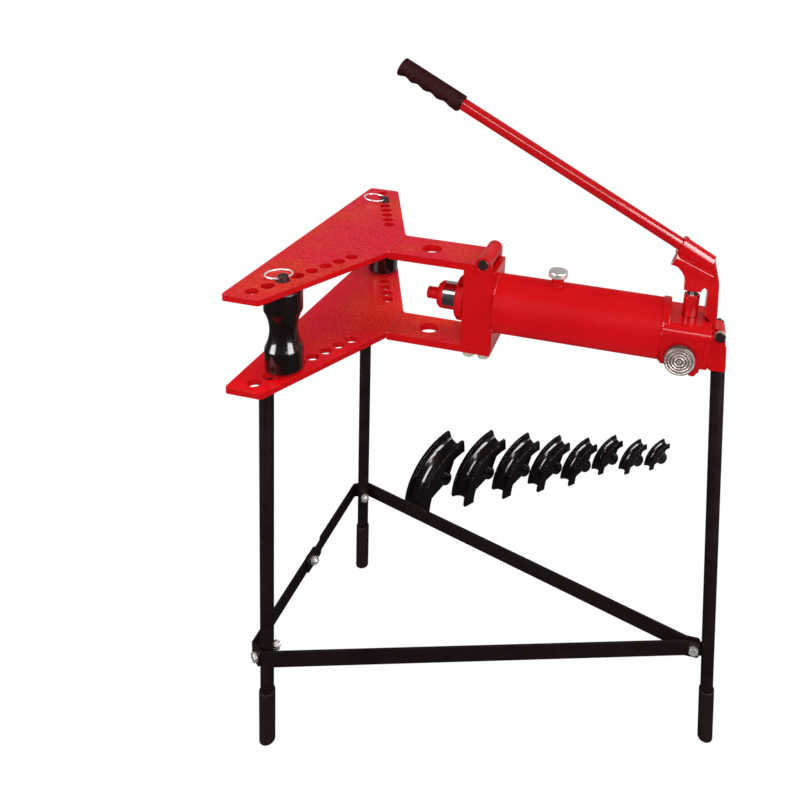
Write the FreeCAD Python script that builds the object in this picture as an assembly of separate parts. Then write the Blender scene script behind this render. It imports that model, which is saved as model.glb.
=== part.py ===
import FreeCAD, Part
import math
import os

# Hydraulic pipe bender on a three-legged stand, in millimetres, +Z up.
# The origin is on the ram axis at the shoulder of the ram nose, where a bending die seats.
# X runs along the ram axis and is positive towards the pump. Y is the plane of symmetry's normal.

V = FreeCAD.Vector

# Overall sizes
ground_z = -884.0
leg_radius = 12.5
leg_wall = 2.5
tank_radius = 55.0
tank_wall = 3.5
ram_radius = 26.0
gland_wall = 6.0
cylinder_bore = ram_radius + gland_wall
cylinder_wall = 7.0
cylinder_outer = cylinder_bore + cylinder_wall

# Wing plates that carry the roller pins
wing_front_x = -262.0
wing_half_width = 296.0
wing_tip_length = 64.5
tip_rear_x = wing_front_x + wing_tip_length
block_side_wall = 4.6
block_side_step = 1.4
block_half_width = cylinder_outer + block_side_wall
neck_half_width = block_half_width + block_side_step
neck_start_x = -86.6
neck_thickness = 13.4
wing_thickness = 10.0
plate_gap_half = 74.3
tip_corner_radius = 7.0
pin_radius = 11.0
pin_hole_clearance = 0.08
pin_hole_radius = pin_radius + pin_hole_clearance
pin_hole_count = 8
pin_hole_first = (wing_front_x + 38.0, wing_half_width - 26.5)
pin_hole_pitch = (12.34, -25.83)
pin_hole_used = 2
neck_hole_x = -18.4
neck_hole_radius = 18.4

# Front block that joins the two plates
block_start_x = 55.0
block_length = 58.0
block_end_x = block_start_x + block_length
block_bolt_inset = 15.0
block_bolt_x = (block_start_x + block_bolt_inset, block_end_x - block_bolt_inset)
block_bolt_y = neck_half_width - 11.0
block_bolt_depth = 25.0
block_bolt_radius = 6.0
block_bolt_flats = 19.0
block_bolt_head = 8.0

# Hinge of the upper plate
hinge_setback = 22.0
hinge_x = block_end_x - hinge_setback
hinge_radius = 14.4
hinge_z = plate_gap_half + hinge_radius + 0.3
hinge_pin_radius = 10.2
knuckle_half = 26.5
knuckle_gap = 0.5

# Hydraulic cylinder, ram and tank
tank_length = 298.0
tank_start_x = block_end_x
tank_end_x = tank_start_x + tank_length
tank_inner = tank_radius - tank_wall
fit = 0.06
seat_gap = 0.1
ram_start_x = 12.0
ram_wall = 11.0
ram_hollow_radius = ram_radius - ram_wall
nose_radius = 11.4
cylinder_start_x = block_start_x + 2.0
cylinder_end_x = tank_end_x - 2.3
gland_start_x = block_start_x - 17.0
gland_radius = cylinder_outer + 3.5
piston_length = 24.0
piston_start_x = cylinder_end_x - piston_length - 10.7
filler_x = tank_start_x + 107.0
filler_radius = 11.0
filler_bore = 7.1
filler_height = 12.0
filler_top_z = tank_radius + filler_height
cap_radius = filler_radius + 6.2
cap_height = 12.2
cap_z = filler_top_z + 1.6
cap_top_z = cap_z + cap_height

# Pump body
flange_radius = tank_radius + 2.5
flange_end_x = tank_end_x + 13.5
body_start_x = tank_end_x + 3.0
body_length = 71.0
body_end_x = body_start_x + body_length
body_half_width = 57.6
body_bottom_z = -45.0
body_top_z = 34.0
body_round = 18.0
barrel_x = body_start_x + 42.8
barrel_radius = 13.6
barrel_top_z = 74.0
barrel_bottom_z = -12.0
chamber_floor_z = 28.0
chamber_top_z = 68.3
chamber_radius = 9.5
plunger_radius = 4.8
plunger_bottom_z = -2.0
plunger_collar_z = 40.6
knob_x = body_start_x + 32.6
knob_z = -20.8
knob_radius = 26.2
knob_far_y = -body_half_width - 4.4
knob_near_y = knob_far_y - 12.0
stem_radius = 5.0
plug_x = body_end_x - 13.0
plug_y = -22.0
plug_boss_z = body_bottom_z - 16.0
plate_thickness = 9.0

# Pump lever
pivot_x = body_end_x + 26.5
pivot_z = 12.0
plunger_top_z = pivot_z + 72.0
pivot_radius = 6.0
casting_half = 17.0
casting_upper_half = 11.5
socket_mouth = (pivot_x - 84.5, pivot_z + 149.5)
handle_angle = 27.0
handle_radius = 11.2
socket_length = 61.0
socket_radius = handle_radius + 4.6
socket_end_radius = socket_radius - 1.0
handle_wall = 2.2
handle_length = 448.0
handle_inside = 44.0
grip_length = 125.0
grip_radius = handle_radius + 4.8
second_mouth = (pivot_x - 91.7, pivot_z + 123.8)
second_angle = 21.5
second_radius = 13.0
second_bore = 7.5
second_length = 72.0
second_depth = 34.0

# Rear bracket and legs
ear_inner = casting_half + 0.3
ear_outer = ear_inner + 5.2
bracket_bottom_z = body_bottom_z - 15.0
bracket_radius = leg_radius + 1.0
spigot_radius = leg_radius - leg_wall - seat_gap
spigot_length = 55.0
front_leg_top = (wing_front_x + 26.4, wing_half_width - 83.3)
front_leg_foot = (front_leg_top[0] - 7.9, front_leg_top[1] + 15.7)
rear_leg_top = (pivot_x + 7.1, bracket_bottom_z - 10.2)
rear_leg_foot = (pivot_x + 87.0, ground_z + 1.5)
foot_radius = leg_radius + 2.5
foot_height = 120.0

# Braces between the legs
brace_z = -672.0
brace_height = 35.0
brace_thickness = 4.0
brace_bolt_radius = 5.0

# Rollers and pins
roller_radius = 31.5
roller_waist = 23.0
roller_top_z = plate_gap_half + 0.3
roller_rim_z = 6.5 - plate_gap_half
roller_hub_radius = pin_radius + 9.0
roller_groove_z = (-30.5, 38.3)
roller_low_round = 10.0
roller_high_round = 3.0
pin_head_radius = pin_radius - 2.0
pin_shoulder_z = plate_gap_half + neck_thickness + 1.0
pin_head_z = pin_shoulder_z + 9.0
pin_bottom_z = -plate_gap_half - wing_thickness - 10.0
ring_mean_radius = 22.0
ring_wire = 1.5
ring_z = pin_shoulder_z + 4.0
ring_sag = 0.95
ring_play = 0.2749

os.makedirs("parts", exist_ok=True)


def save(name, shape):
    shape.exportStep("parts/" + name + ".step")


def rod(radius, start, end):
    start = V(*start)
    axis = V(*end) - start
    return Part.makeCylinder(radius, axis.Length, start, axis)


def cone(radius_start, radius_end, start, end):
    start = V(*start)
    axis = V(*end) - start
    return Part.makeCone(radius_start, radius_end, axis.Length, start, axis)


def tube(outer, inner, start, end):
    return rod(outer, start, end).cut(rod(inner, start, end))


def block(x0, x1, y0, y1, z0, z1):
    return Part.makeBox(x1 - x0, y1 - y0, z1 - z0, V(x0, y0, z0))


def slab(points, z0, z1):
    ring = [V(x, y, z0) for x, y in points]
    face = Part.Face(Part.makePolygon(ring + [ring[0]]))
    return face.extrude(V(0, 0, z1 - z0))


def side_plate(points, y0, y1):
    ring = [V(x, y0, z) for x, z in points]
    face = Part.Face(Part.makePolygon(ring + [ring[0]]))
    return face.extrude(V(0, y1 - y0, 0))


def turned(profile, origin, axis):
    # The profile lists (distance along the axis, radius) and is turned about the axis.
    axis = V(*axis)
    origin = V(*origin)
    side = V(0, 0, 1) if abs(axis.z) < 0.9 else V(1, 0, 0)
    side = (side - axis * side.dot(axis)).normalize()
    ring = [origin + axis * a + side * r for a, r in profile]
    face = Part.Face(Part.makePolygon(ring + [ring[0]]))
    return face.revolve(origin, axis, 360)


def hexagon(across_flats, start, end):
    start = V(*start)
    axis = V(*end) - start
    long_side = across_flats / math.sqrt(3)
    direction = V(axis).normalize()
    first = V(0, 0, 1) if abs(direction.z) < 0.9 else V(1, 0, 0)
    first = (first - direction * first.dot(direction)).normalize()
    second = direction.cross(first)
    ring = []
    for i in range(6):
        a = math.radians(60 * i)
        ring.append(start + first * (long_side * math.cos(a)) + second * (long_side * math.sin(a)))
    face = Part.Face(Part.makePolygon(ring + [ring[0]]))
    return face.extrude(axis)


def mirrored(shape):
    return shape.mirror(V(0, 0, 0), V(0, 1, 0))


def rounded_edges(shape, radius, wanted):
    edges = [e for e in shape.Edges if wanted(e)]
    return shape.makeFillet(radius, edges)


def is_vertical(edge):
    box = edge.BoundBox
    return box.XLength < 0.01 and box.YLength < 0.01


# Wing plates
tips = [(wing_front_x, -wing_half_width), (tip_rear_x, -wing_half_width)]


def wing_outline(rear_x):
    near = tips + [(neck_start_x, -neck_half_width), (rear_x, -neck_half_width)]
    far = [(x, -y) for x, y in reversed(near)]
    return near + far


def wing_plate(rear_x, z_wing, z_neck):
    # z_wing and z_neck are (underside, top) of the thin wing and of the thicker neck.
    plate = slab(wing_outline(neck_start_x + 20), *z_wing)
    near_tip = lambda e: is_vertical(e) and abs(e.BoundBox.YMin) > wing_half_width - 1
    plate = rounded_edges(plate, tip_corner_radius, near_tip)
    neck = block(neck_start_x, rear_x, -neck_half_width, neck_half_width, *z_neck)
    plate = plate.fuse(neck)
    for i in range(pin_hole_count):
        x = pin_hole_first[0] + pin_hole_pitch[0] * i
        y = pin_hole_first[1] + pin_hole_pitch[1] * i
        for side in (-1, 1):
            hole = rod(pin_hole_radius, (x, side * y, z_neck[0] - 5), (x, side * y, z_neck[1] + 5))
            plate = plate.cut(hole)
    hole = rod(neck_hole_radius, (neck_hole_x, 0, z_neck[0] - 5), (neck_hole_x, 0, z_neck[1] + 5))
    return plate.cut(hole)


upper_top = plate_gap_half + neck_thickness
upper_rear_x = hinge_x - hinge_radius - 0.5
upper = wing_plate(upper_rear_x, (upper_top - wing_thickness, upper_top), (plate_gap_half, upper_top))
knuckle_tab = block(upper_rear_x - 1, hinge_x, -knuckle_half, knuckle_half, plate_gap_half + 1, upper_top)
knuckle = rod(hinge_radius, (hinge_x, -knuckle_half, hinge_z), (hinge_x, knuckle_half, hinge_z))
pin_half = neck_half_width + 0.5
bore_half = pin_half + 10
hinge_bore = rod(hinge_pin_radius + 0.08, (hinge_x, -bore_half, hinge_z), (hinge_x, bore_half, hinge_z))
upper = upper.fuse(knuckle_tab).fuse(knuckle).cut(hinge_bore).removeSplitter()
save("upper_wing", upper)

lower_top = -plate_gap_half
lower_bottom = lower_top - neck_thickness
lower = wing_plate(block_end_x - 1, (lower_top - wing_thickness, lower_top), (lower_bottom, lower_top))


def unit(p, q):
    d = V(*q) - V(*p)
    return d.normalize()


def along(p, d, s):
    return (p[0] + d.x * s, p[1] + d.y * s, p[2] + d.z * s)


wing_underside = lower_top - wing_thickness


def front_leg_axis(side):
    top = (front_leg_top[0], side * front_leg_top[1], wing_underside)
    foot = (front_leg_foot[0], side * front_leg_foot[1], ground_z)
    return top, foot


spigots = []
for side in (-1, 1):
    top, foot = front_leg_axis(side)
    d = unit(top, foot)
    spigot = rod(spigot_radius, along(top, d, -4), along(top, d, spigot_length))
    trim = block(top[0] - 100, top[0] + 100, top[1] - 100, top[1] + 100, ground_z, wing_underside)
    spigots.append(spigot.common(trim))
save("leg_spigots", Part.makeCompound(spigots))
for x in block_bolt_x:
    for y in (-block_bolt_y, block_bolt_y):
        lower = lower.cut(rod(block_bolt_radius + 0.3, (x, y, lower_bottom - 5), (x, y, lower_top + 5)))
save("lower_wing", lower.removeSplitter())

# Front block with the two outer knuckles of the hinge
front = block(block_start_x, block_end_x, -block_half_width, block_half_width, lower_top, plate_gap_half)
front = rounded_edges(front, 3.0, lambda e: is_vertical(e))
for side in (-1, 1):
    y0, y1 = sorted((side * (knuckle_half + knuckle_gap), side * neck_half_width))
    front = front.fuse(rod(hinge_radius, (hinge_x, y0, hinge_z), (hinge_x, y1, hinge_z)))
    foot_web = block(hinge_x - 14, hinge_x + hinge_radius, y0, y1, plate_gap_half - 2, hinge_z - 2)
    front = front.fuse(foot_web)
front = front.cut(hinge_bore)
front = front.cut(rod(cylinder_outer + seat_gap, (block_start_x - 5, 0, 0), (block_end_x + 5, 0, 0)))
for x in block_bolt_x:
    for y in (-block_bolt_y, block_bolt_y):
        bolt_end = lower_top + block_bolt_depth
        front = front.cut(rod(block_bolt_radius + seat_gap, (x, y, lower_top - 15), (x, y, bolt_end + 1)))
save("front_block", front.removeSplitter())

hinge_pin = rod(hinge_pin_radius, (hinge_x, -pin_half, hinge_z), (hinge_x, pin_half, hinge_z))
save("hinge_pin", hinge_pin.makeChamfer(1.2, [e for e in hinge_pin.Edges if len(e.Vertexes) == 1]))

bolts = []
for x in block_bolt_x:
    for y in (-block_bolt_y, block_bolt_y):
        shank = rod(block_bolt_radius, (x, y, lower_bottom), (x, y, lower_top + block_bolt_depth))
        head = hexagon(block_bolt_flats, (x, y, lower_bottom), (x, y, lower_bottom - block_bolt_head))
        bolts.append(shank.fuse(head))
save("block_bolts", Part.makeCompound(bolts))

# Tank with a closed front end, a filler neck and an open rear end
tank = tube(tank_radius, tank_inner, (tank_start_x, 0, 0), (tank_end_x, 0, 0))
end_wall = tube(tank_radius - 1, cylinder_outer + seat_gap, (tank_start_x, 0, 0), (tank_start_x + 7, 0, 0))
tank = tank.fuse(end_wall)
neck_profile = [(tank_radius - 3, 0), (tank_radius - 3, filler_radius + 4)]
neck_profile += [(tank_radius - 0.4, filler_radius + 3), (tank_radius + 2.4, filler_radius)]
neck_profile += [(filler_top_z, filler_radius), (filler_top_z, 0)]
tank = tank.fuse(turned(neck_profile, (filler_x, 0, 0), (0, 0, 1)))
tank = tank.cut(rod(filler_bore, (filler_x, 0, tank_radius - 10), (filler_x, 0, filler_top_z + 1)))
save("tank_tube", tank.removeSplitter())

gasket_bore = filler_bore + 0.5
gasket_ends = ((filler_x, 0, filler_top_z), (filler_x, 0, cap_z - 0.1))
save("filler_gasket", tube(filler_radius - 0.3, gasket_bore, *gasket_ends))
cap_stem = filler_bore - seat_gap
cap_profile = [(tank_radius - 1, 0), (tank_radius - 1, cap_stem - 0.6), (tank_radius, cap_stem)]
cap_profile += [(cap_z, cap_stem), (cap_z, cap_radius - 2.2), (cap_z + 0.7, cap_radius - 0.7), (cap_z + 2.2, cap_radius)]
cap_profile += [(cap_top_z - 3.2, cap_radius), (cap_top_z - 0.9, cap_radius - 0.9)]
cap_profile += [(cap_top_z, cap_radius - 3.2), (cap_top_z, 0)]
save("filler_cap", turned(cap_profile, (filler_x, 0, 0), (0, 0, 1)))

save("inner_cylinder", tube(cylinder_outer, cylinder_bore, (cylinder_start_x, 0, 0), (cylinder_end_x, 0, 0)))

# Gland nut that closes the front of the cylinder
gland_end_x = block_start_x - 0.1
gland_tail_x = gland_end_x + 27.1
gland_tail_radius = cylinder_bore - seat_gap
seal_x = block_start_x + 12.0
seal_width = 7.0
seal_depth = 3.0
gland_profile = [(gland_start_x, ram_radius + fit), (gland_start_x, gland_radius - 4)]
gland_profile += [(gland_start_x + 4, gland_radius), (gland_end_x - 1, gland_radius)]
gland_profile += [(gland_end_x, gland_radius - 1), (gland_end_x, gland_tail_radius)]
gland_profile += [(gland_tail_x, gland_tail_radius), (gland_tail_x, ram_radius + fit)]
gland_profile += [(seal_x + seal_width, ram_radius + fit), (seal_x + seal_width, ram_radius + seal_depth)]
gland_profile += [(seal_x, ram_radius + seal_depth), (seal_x, ram_radius + fit)]
gland = turned(gland_profile, (0, 0, 0), (1, 0, 0))
for a in (55, 145, 235, 325):
    s, c = math.sin(math.radians(a)), math.cos(math.radians(a))
    x = gland_start_x + 8.5
    deep = gland_radius - 7.5
    out = gland_radius + 7.5
    gland = gland.cut(rod(3.5, (x, s * deep, c * deep), (x, s * out, c * out)))
save("gland_nut", gland)
rod_seal_ends = ((seal_x + 0.2, 0, 0), (seal_x + seal_width - 0.2, 0, 0))
rod_seal = tube(ram_radius + seal_depth - 0.1, ram_radius + 0.03, *rod_seal_ends)

# Ram: hollow chromed rod with a screwed nose and a screwed piston
ram_tail_x = piston_start_x + piston_length + 2
ram_tail_radius = ram_radius - 5.0
nose_stem = 8.0
nose_stem_end = ram_start_x + 23.5
hollow_start_x = ram_start_x + 33.0
ram = rod(ram_radius, (ram_start_x, 0, 0), (piston_start_x, 0, 0))
ram = ram.fuse(rod(ram_tail_radius, (piston_start_x - 1, 0, 0), (ram_tail_x, 0, 0)))
ram = ram.cut(rod(ram_hollow_radius, (hollow_start_x, 0, 0), (ram_tail_x + 1, 0, 0)))
ram = ram.cut(rod(nose_stem + seat_gap, (ram_start_x - 1, 0, 0), (nose_stem_end + 0.5, 0, 0)))
save("ram_rod", ram)
nose_profile = [(-22.5, 0), (-22.5, nose_radius - 1.6), (-20.9, nose_radius), (-17.5, nose_radius)]
nose_profile += [(-16.6, nose_radius - 1), (-15, nose_radius - 1), (-14, nose_radius), (0, nose_radius)]
nose_profile += [(0, ram_radius - 5), (5.5, ram_radius - 0.4), (ram_start_x, ram_radius - 0.1)]
nose_profile += [(ram_start_x, nose_stem), (nose_stem_end, nose_stem), (nose_stem_end, 0)]
save("ram_nose", turned(nose_profile, (0, 0, 0), (1, 0, 0)))
piston_end_x = piston_start_x + piston_length
piston_radius = cylinder_bore - fit
piston_groove = cylinder_bore - 4.0
piston_groove_x = (piston_start_x + 7.0, piston_start_x + 17.0)
piston_profile = [(piston_start_x, ram_tail_radius + seat_gap), (piston_start_x, piston_radius)]
piston_profile += [(piston_groove_x[0], piston_radius), (piston_groove_x[0], piston_groove)]
piston_profile += [(piston_groove_x[1], piston_groove), (piston_groove_x[1], piston_radius)]
piston_profile += [(piston_end_x, piston_radius), (piston_end_x, ram_tail_radius + seat_gap)]
save("ram_piston", turned(piston_profile, (0, 0, 0), (1, 0, 0)))
piston_seal_ends = ((piston_groove_x[0] + 0.3, 0, 0), (piston_groove_x[1] - 0.3, 0, 0))
save("piston_seal", tube(cylinder_bore - 0.03, piston_groove + seat_gap, *piston_seal_ends))


def coil(mean_radius, wire, start, axis, length, turns):
    helix = Part.makeHelix(length / turns, length, mean_radius)
    section = Part.Wire(Part.makeCircle(wire, V(mean_radius, 0, 0), V(0, 1, 0)))
    shell = Part.Wire(helix.Edges).makePipeShell([section], True, True)
    shell.Placement = FreeCAD.Placement(V(*start), FreeCAD.Rotation(V(0, 0, 1), V(*axis)))
    return shell


spring_wire = 2.0
spring_start = hollow_start_x + 0.3 + spring_wire
spring_length = ram_tail_x - 4 - spring_start
spring_radius = ram_hollow_radius - 4.0
save("return_spring", coil(spring_radius, spring_wire, (spring_start, 0, 0), (1, 0, 0), spring_length, 12))

# Pump body: flange, spigot in the tank and a block with rounded long edges
body = block(body_start_x, body_end_x, -body_half_width, body_half_width, body_bottom_z, body_top_z)


def runs_along_x(edge):
    box = edge.BoundBox
    return box.YLength < 0.01 and box.ZLength < 0.01


body = rounded_edges(body, body_round, runs_along_x)
flange_start_x = tank_end_x - 12.0
flange_spigot = tank_inner - 0.6
flange_profile = [(flange_start_x, 0), (flange_start_x, flange_spigot), (tank_end_x, flange_spigot)]
flange_profile += [(tank_end_x, flange_radius - 1)]
flange_profile += [(tank_end_x + 1, flange_radius), (flange_end_x - 1.5, flange_radius)]
flange_profile += [(flange_end_x, flange_radius - 1.5), (flange_end_x, 0)]
body = body.fuse(turned(flange_profile, (0, 0, 0), (1, 0, 0)))
body = body.fuse(rod(12.0, (plug_x, plug_y, body_bottom_z + 5), (plug_x, plug_y, plug_boss_z)))
body = body.cut(rod(cylinder_outer + seat_gap, (flange_start_x - 9, 0, 0), (cylinder_end_x + 0.1, 0, 0)))
tank_seal_x = flange_start_x + 4.0
cylinder_seal_x = flange_start_x + 3.0
seal_grooves = [(tank_seal_x, tank_inner - 3.0, tank_radius + 5.0)]
seal_grooves += [(cylinder_seal_x, cylinder_outer - 9.0, cylinder_outer + 2.4)]
for x0, inner, outer in seal_grooves:
    body = body.cut(tube(outer, inner, (x0, 0, 0), (x0 + 3.6, 0, 0)))
barrel_seat = (barrel_x, 0, barrel_bottom_z - 0.2)
body = body.cut(rod(barrel_radius + seat_gap, barrel_seat, (barrel_x, 0, body_top_z + 26)))
body = body.cut(rod(3.0, (barrel_x, 0, knob_z), (barrel_x, 0, barrel_bottom_z)))
body = body.cut(rod(3.0, (flange_start_x + 1, 0, knob_z), (barrel_x, 0, knob_z)))
body = body.cut(rod(stem_radius + fit, (knob_x, -body_half_width - 2.4, knob_z), (knob_x, -4.5, knob_z)))
body = body.cut(rod(5.6, (plug_x, plug_y, plug_boss_z - 1), (plug_x, plug_y, plug_boss_z + 16)))
bolt_inset = (body_half_width - 20.6, 13.0, 22.0)
bracket_bolt_heights = (body_bottom_z + bolt_inset[1], body_top_z - bolt_inset[2])
bracket_bolt_places = [(y, z) for y in (-bolt_inset[0], bolt_inset[0]) for z in bracket_bolt_heights]
for y, z in bracket_bolt_places:
    body = body.cut(rod(4.1, (body_end_x - 19, y, z), (body_end_x + 5, y, z)))
save("pump_body", body.removeSplitter())

tank_seal_ends = ((tank_seal_x + 0.2, 0, 0), (tank_seal_x + 3.4, 0, 0))
tank_seal = tube(tank_inner - 0.05, tank_inner - 2.9, *tank_seal_ends)
cylinder_seal_ends = ((cylinder_seal_x + 0.2, 0, 0), (cylinder_seal_x + 3.4, 0, 0))
cylinder_seal = tube(cylinder_outer + 2.3, cylinder_outer + 0.05, *cylinder_seal_ends)
save("cylinder_seals", Part.makeCompound([rod_seal, tank_seal, cylinder_seal]))
plug = rod(5.5, (plug_x, plug_y, plug_boss_z), (plug_x, plug_y, plug_boss_z + 14))
plug = plug.fuse(rod(8.0, (plug_x, plug_y, plug_boss_z - 1.5), (plug_x, plug_y, plug_boss_z)))
plug_head = hexagon(13, (plug_x, plug_y, plug_boss_z - 8), (plug_x, plug_y, plug_boss_z - 1.4))
save("drain_plug", plug.fuse(plug_head))

# Pump barrel, its plunger and the spring that lifts the plunger
barrel = turned([(barrel_bottom_z, 0), (barrel_bottom_z, barrel_radius), (barrel_top_z - 1.5, barrel_radius),
                 (barrel_top_z, barrel_radius - 1.5), (barrel_top_z, 0)], (barrel_x, 0, 0), (0, 0, 1))
barrel = barrel.cut(rod(plunger_radius + 0.05, (barrel_x, 0, -20), (barrel_x, 0, 80)))
barrel = barrel.cut(rod(chamber_radius, (barrel_x, 0, chamber_floor_z), (barrel_x, 0, 80)))
gasket_z = chamber_floor_z - 5.0
barrel = barrel.cut(rod(plunger_radius + 2.2, (barrel_x, 0, gasket_z), (barrel_x, 0, gasket_z + 3.5)))
save("pump_barrel", barrel)
barrel_cap_ends = ((barrel_x, 0, chamber_top_z), (barrel_x, 0, barrel_top_z - 0.8))
save("barrel_cap", tube(chamber_radius - seat_gap, plunger_radius + 0.08, *barrel_cap_ends))
plunger_seal_ends = ((barrel_x, 0, gasket_z + 0.2), (barrel_x, 0, gasket_z + 3.3))
save("plunger_seal", tube(plunger_radius + 2.1, plunger_radius + 0.03, *plunger_seal_ends))
collar_end = plunger_collar_z + 3
collar_radius = chamber_radius - 0.5
plunger_profile = [(plunger_bottom_z, 0), (plunger_bottom_z, plunger_radius)]
plunger_profile += [(plunger_collar_z, plunger_radius), (plunger_collar_z, collar_radius)]
plunger_profile += [(collar_end, collar_radius), (collar_end, plunger_radius)]
plunger_profile += [(plunger_top_z - 1.5, plunger_radius), (plunger_top_z, 3.0), (plunger_top_z, 0)]
save("pump_plunger", turned(plunger_profile, (barrel_x, 0, 0), (0, 0, 1)))
coil_wire = 0.65
coil_start = chamber_floor_z + coil_wire + 0.15
coil_length = plunger_collar_z - coil_wire - 0.15 - coil_start
coil_radius = chamber_radius - 2.3
save("plunger_spring", coil(coil_radius, coil_wire, (barrel_x, 0, coil_start), (0, 0, 1), coil_length, 4))

# Release valve
save("release_ball", Part.makeSphere(4.6, V(knob_x, -9.2, knob_z)))
stem = rod(stem_radius, (knob_x, -14.0, knob_z), (knob_x, knob_far_y, knob_z))
stem = stem.fuse(rod(7.5, (knob_x, -body_half_width - 0.3, knob_z), (knob_x, knob_far_y, knob_z)))
save("valve_stem", stem.fuse(rod(4.0, (knob_x, knob_far_y, knob_z), (knob_x, knob_near_y + 5, knob_z))))
groove_radii = (21.9, 17.2, 12.5, 7.8)
knob_profile = [(0, 4.1), (0, knob_radius - 1), (1, knob_radius), (11, knob_radius), (12, knob_radius - 1)]
for r in groove_radii:
    knob_profile += [(12, r + 1.1), (10.8, r), (12, r - 1.1)]
knob_profile += [(12, 0), (7.2, 0), (7.2, 4.1)]
save("release_knob", turned(knob_profile, (knob_x, knob_far_y, knob_z), (0, -1, 0)))

# Lever casting with two handle sockets
handle_dir = (-math.cos(math.radians(handle_angle)), math.sin(math.radians(handle_angle)))
second_dir = (-math.cos(math.radians(second_angle)), math.sin(math.radians(second_angle)))
second_mouth_point = (second_mouth[0], 0, second_mouth[1])


def on_axis(mouth, direction, s):
    return (mouth[0] + direction[0] * s, 0, mouth[1] + direction[1] * s)


def from_pivot(points):
    return [(pivot_x + x, pivot_z + z) for x, z in points]


# Outlines of the casting are given from the pivot.
web = [(-83, 108.5), (-77.5, 103.5), (-72.9, 96.5), (-70.9, 88.7), (-70.5, 72.4), (-41.5, 72.4)]
web += [(-40.2, 77.5), (-35.9, 81), (-31.5, 77.5), (-30.5, 72), (-30.5, 32), (-24.5, 26.5)]
web += [(-17.5, 18), (-16.5, 2), (-11.5, -7), (0, -9)]
web += [(0, 9), (-8.1, 11), (-9.6, 45.9), (-13, 91.3), (-21.9, 122), (-33.5, 117), (-59.5, 125), (-87.5, 124)]
casting = side_plate(from_pivot(web), -casting_half, casting_half)
casting = rounded_edges(casting, 2.5, lambda e: e.BoundBox.YLength < 0.01 and e.BoundBox.DiagonalLength > 19)
# Above the pump the casting narrows, so that both sockets stand proud of its sides.
narrow = [(-casting_half, pivot_z - 20), (-casting_half, pivot_z + 70), (-casting_upper_half, pivot_z + 92)]
narrow += [(-casting_upper_half, pivot_z + 160), (casting_upper_half, pivot_z + 160)]
narrow += [(casting_upper_half, pivot_z + 92), (casting_half, pivot_z + 70), (casting_half, pivot_z - 20)]
ring = [V(pivot_x - 150, y, z) for y, z in narrow]
envelope = Part.Face(Part.makePolygon(ring + [ring[0]])).extrude(V(200, 0, 0))
casting = casting.common(envelope)
upper_web = [(-87.5, 124), (-79.5, 150), (-22.2, 123.5), (-22.2, 108), (-71.5, 106)]
casting = casting.fuse(side_plate(from_pivot(upper_web), -11, 11))
socket_back = on_axis(socket_mouth, handle_dir, -socket_length)
socket_front = on_axis(socket_mouth, handle_dir, 0)
casting = casting.fuse(cone(socket_end_radius, socket_radius, socket_back, socket_front))
casting = casting.fuse(rod(socket_radius + 1.5, on_axis(socket_mouth, handle_dir, -6),
                           on_axis(socket_mouth, handle_dir, 0)))
casting = casting.fuse(rod(second_radius, on_axis(second_mouth, second_dir, -second_length),
                           on_axis(second_mouth, second_dir, 0)))
casting = casting.fuse(cone(second_radius, second_radius + 1.5, on_axis(second_mouth, second_dir, -6),
                            on_axis(second_mouth, second_dir, 0)))
eye = pivot_radius + 4
casting = casting.fuse(rod(eye, (pivot_x, -casting_half, pivot_z), (pivot_x, casting_half, pivot_z)))
casting = casting.cut(rod(handle_radius + 0.08, on_axis(socket_mouth, handle_dir, -handle_inside - 1),
                          on_axis(socket_mouth, handle_dir, 10)))
casting = casting.cut(rod(second_bore, on_axis(second_mouth, second_dir, -second_depth),
                          on_axis(second_mouth, second_dir, 10)))
casting = casting.cut(rod(second_bore + 0.8, second_mouth_point, on_axis(second_mouth, second_dir, 12)))
casting = casting.cut(rod(pivot_radius + fit, (pivot_x, -30, pivot_z), (pivot_x, 30, pivot_z)))
save("lever_casting", casting.removeSplitter())

# Handle tube and finger grip
handle = tube(handle_radius, handle_radius - handle_wall, on_axis(socket_mouth, handle_dir, -handle_inside),
              on_axis(socket_mouth, handle_dir, handle_length + grip_length - 6))
save("handle_tube", handle)
grip_start = on_axis(socket_mouth, handle_dir, handle_length)
grip_end = on_axis(socket_mouth, handle_dir, handle_length + grip_length)
grip = rod(grip_radius, grip_start, grip_end)
grip = rounded_edges(grip, 3.5, lambda e: len(e.Vertexes) == 1)
down = V(-handle_dir[1], 0, handle_dir[0])
scallop_pitch = 25.0
scallop_radius = 15.0
for i in range(4):
    centre = V(*on_axis(socket_mouth, handle_dir, handle_length + 26 + scallop_pitch * i))
    centre = centre + down * (grip_radius + scallop_radius - 3.4)
    grip = grip.cut(Part.makeCylinder(scallop_radius, 60, centre - V(0, 30, 0), V(0, 1, 0)))
grip = grip.cut(rod(handle_radius + seat_gap, grip_start, on_axis(socket_mouth, handle_dir,
                                                                  handle_length + grip_length - 5)))
save("handle_grip", grip)

# Pivot bolt of the lever
head_y = -ear_outer - 1.5
pivot_bolt = rod(pivot_radius, (pivot_x, head_y, pivot_z), (pivot_x, ear_outer + 9, pivot_z))
pivot_flats = 2 * pivot_radius + 4
pivot_bolt = pivot_bolt.fuse(hexagon(pivot_flats, (pivot_x, head_y, pivot_z), (pivot_x, head_y - 6, pivot_z)))
save("pivot_bolt", pivot_bolt)
washer_ends = ((pivot_x, head_y + 0.05, pivot_z), (pivot_x, -ear_outer - 0.05, pivot_z))
save("pivot_washer", tube(pivot_radius + 4, pivot_radius + seat_gap, *washer_ends))
nut = hexagon(pivot_flats + 1, (pivot_x, ear_outer + 0.1, pivot_z), (pivot_x, ear_outer + 8, pivot_z))
save("pivot_nut", nut.cut(rod(pivot_radius + 0.1, (pivot_x, 0, pivot_z), (pivot_x, 40, pivot_z))))

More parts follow.
